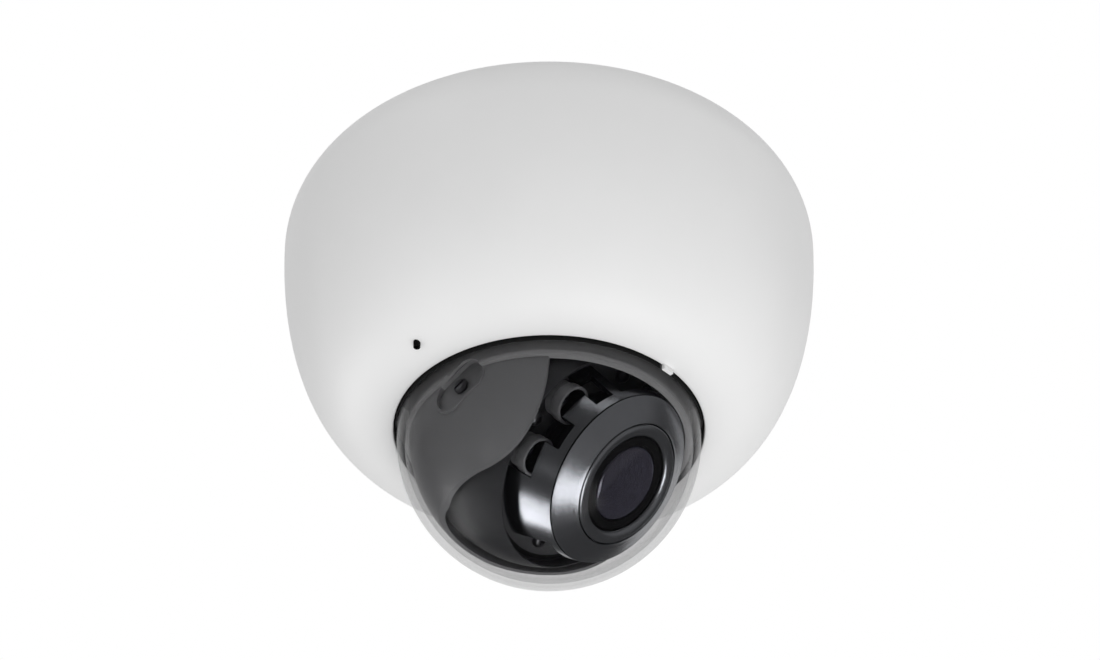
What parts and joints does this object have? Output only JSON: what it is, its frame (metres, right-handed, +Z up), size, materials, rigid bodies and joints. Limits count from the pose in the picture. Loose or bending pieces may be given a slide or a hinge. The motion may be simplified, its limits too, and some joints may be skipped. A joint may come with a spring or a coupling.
{
  "type": "dome security camera",
  "caption": "Ceiling dome camera: white bowl housing, smoked bubble, and a camera head that pans, tilts and rolls inside a dark liner.",
  "frame": {"origin": "middle of the ceiling face of the mounting base", "axes": "+Z up, out of the ceiling face; the camera hangs towards -Z; -Y is the front that the pinhole and the locating lug stand on"},
  "size_m": [0.13, 0.13, 0.1072],
  "materials": {
    "housing_white": "satin white moulded plastic",
    "smoked_bubble": "lightly smoked clear polycarbonate",
    "black_rubber": "matt black rubber",
    "liner_grey": "dark grey moulded plastic, satin",
    "satin_black": "satin black painted metal",
    "black_plastic": "black plastic",
    "lens_glass": "coated lens glass",
    "emitter_lens": "dark clear resin",
    "steel": "plated steel",
    "black_steel": "blackened steel",
    "board_black": "black solder mask",
    "jack_metal": "tinned shield",
    "board_green": "green solder mask",
    "terminal_green": "green terminal plastic",
    "heat_sink_metal": "anodised",
    "base_grey": "grey moulded plastic",
    "nylon": "natural nylon"
  },
  "bodies": {
    "base": {"mounting_base": "base_grey", "chassis_screw_1": "steel", "chassis_screw_2": "steel", "chassis_screw_3": "steel", "main_board": "board_green", "board_screw_1": "steel", "board_screw_2": "steel", "board_screw_3": "steel", "network_jack": "jack_metal", "power_terminal": "terminal_green", "card_socket": "steel", "heat_sink": "heat_sink_metal", "reset_switch": "black_plastic", "chassis": "base_grey", "pan_bearing_washer": "nylon"},
    "reset_key": {"reset_button": "nylon"},
    "cover": {"outer_housing": "housing_white", "bubble": "smoked_bubble", "bubble_gasket": "black_rubber", "bubble_retaining_ring": "steel", "ring_screw_1": "steel", "ring_screw_2": "steel", "ring_screw_3": "steel", "microphone_boot": "black_rubber"},
    "turret": {"pan_yoke": "satin_black", "pan_retaining_ring": "steel", "inner_liner": "liner_grey", "liner_screw": "black_steel"},
    "ball": {"tilt_ball": "liner_grey", "tilt_pivot_screw_left": "black_steel", "tilt_pivot_screw_right": "black_steel", "tilt_washer_left": "nylon", "tilt_washer_right": "nylon"},
    "head": {"head_frame": "liner_grey", "head_screw_1": "black_steel", "head_screw_2": "black_steel", "head_screw_3": "black_steel", "head_screw_4": "black_steel", "roll_retaining_ring": "steel", "ir_board_left": "board_black", "ir_board_right": "board_black", "ir_emitter_1": "emitter_lens", "ir_emitter_2": "emitter_lens", "ir_emitter_3": "emitter_lens", "ir_emitter_4": "emitter_lens", "ir_tube_1": "black_plastic", "ir_tube_2": "black_plastic", "ir_tube_3": "black_plastic", "ir_tube_4": "black_plastic", "barrel_shroud": "satin_black", "front_bezel": "satin_black", "trim_ring": "satin_black", "lens_carrier": "black_plastic", "sensor_board": "board_green", "image_sensor": "black_plastic", "sensor_spacer": "black_plastic"},
    "lens": {"lens_barrel": "black_plastic", "front_lens": "lens_glass", "rear_lens": "lens_glass"}
  },
  "joints": [
    {"name": "pan_turn", "type": "hinge", "parent": "base", "child": "turret", "pos_m": [0, 0, -0.0708], "axis": [0, 0, 1], "range_deg": [-175, 175]},
    {"name": "head_tilt", "type": "hinge", "parent": "turret", "child": "ball", "pos_m": [0, 0, -0.0708], "axis": [0.3584, 0.9336, 0], "range_deg": [-23.6, 46.4]},
    {"name": "head_roll", "type": "hinge", "parent": "ball", "child": "head", "pos_m": [0, 0, -0.0708], "axis": [0.6761, -0.2595, -0.6896], "range_deg": [-175, 175]},
    {"name": "focus_turn", "type": "hinge", "parent": "head", "child": "lens", "pos_m": [0, 0, -0.0708], "axis": [0.6761, -0.2595, -0.6896], "range_deg": [-170, 170]},
    {"name": "cover_pull", "type": "slide", "parent": "base", "child": "cover", "axis": [0, 0, -1], "range_m": [0, 0.115]},
    {"name": "reset_press", "type": "slide", "parent": "base", "child": "reset_key", "axis": [0, 0, 1], "range_m": [0, 0.0004], "stiffness_N_per_m": 400}
  ]
}
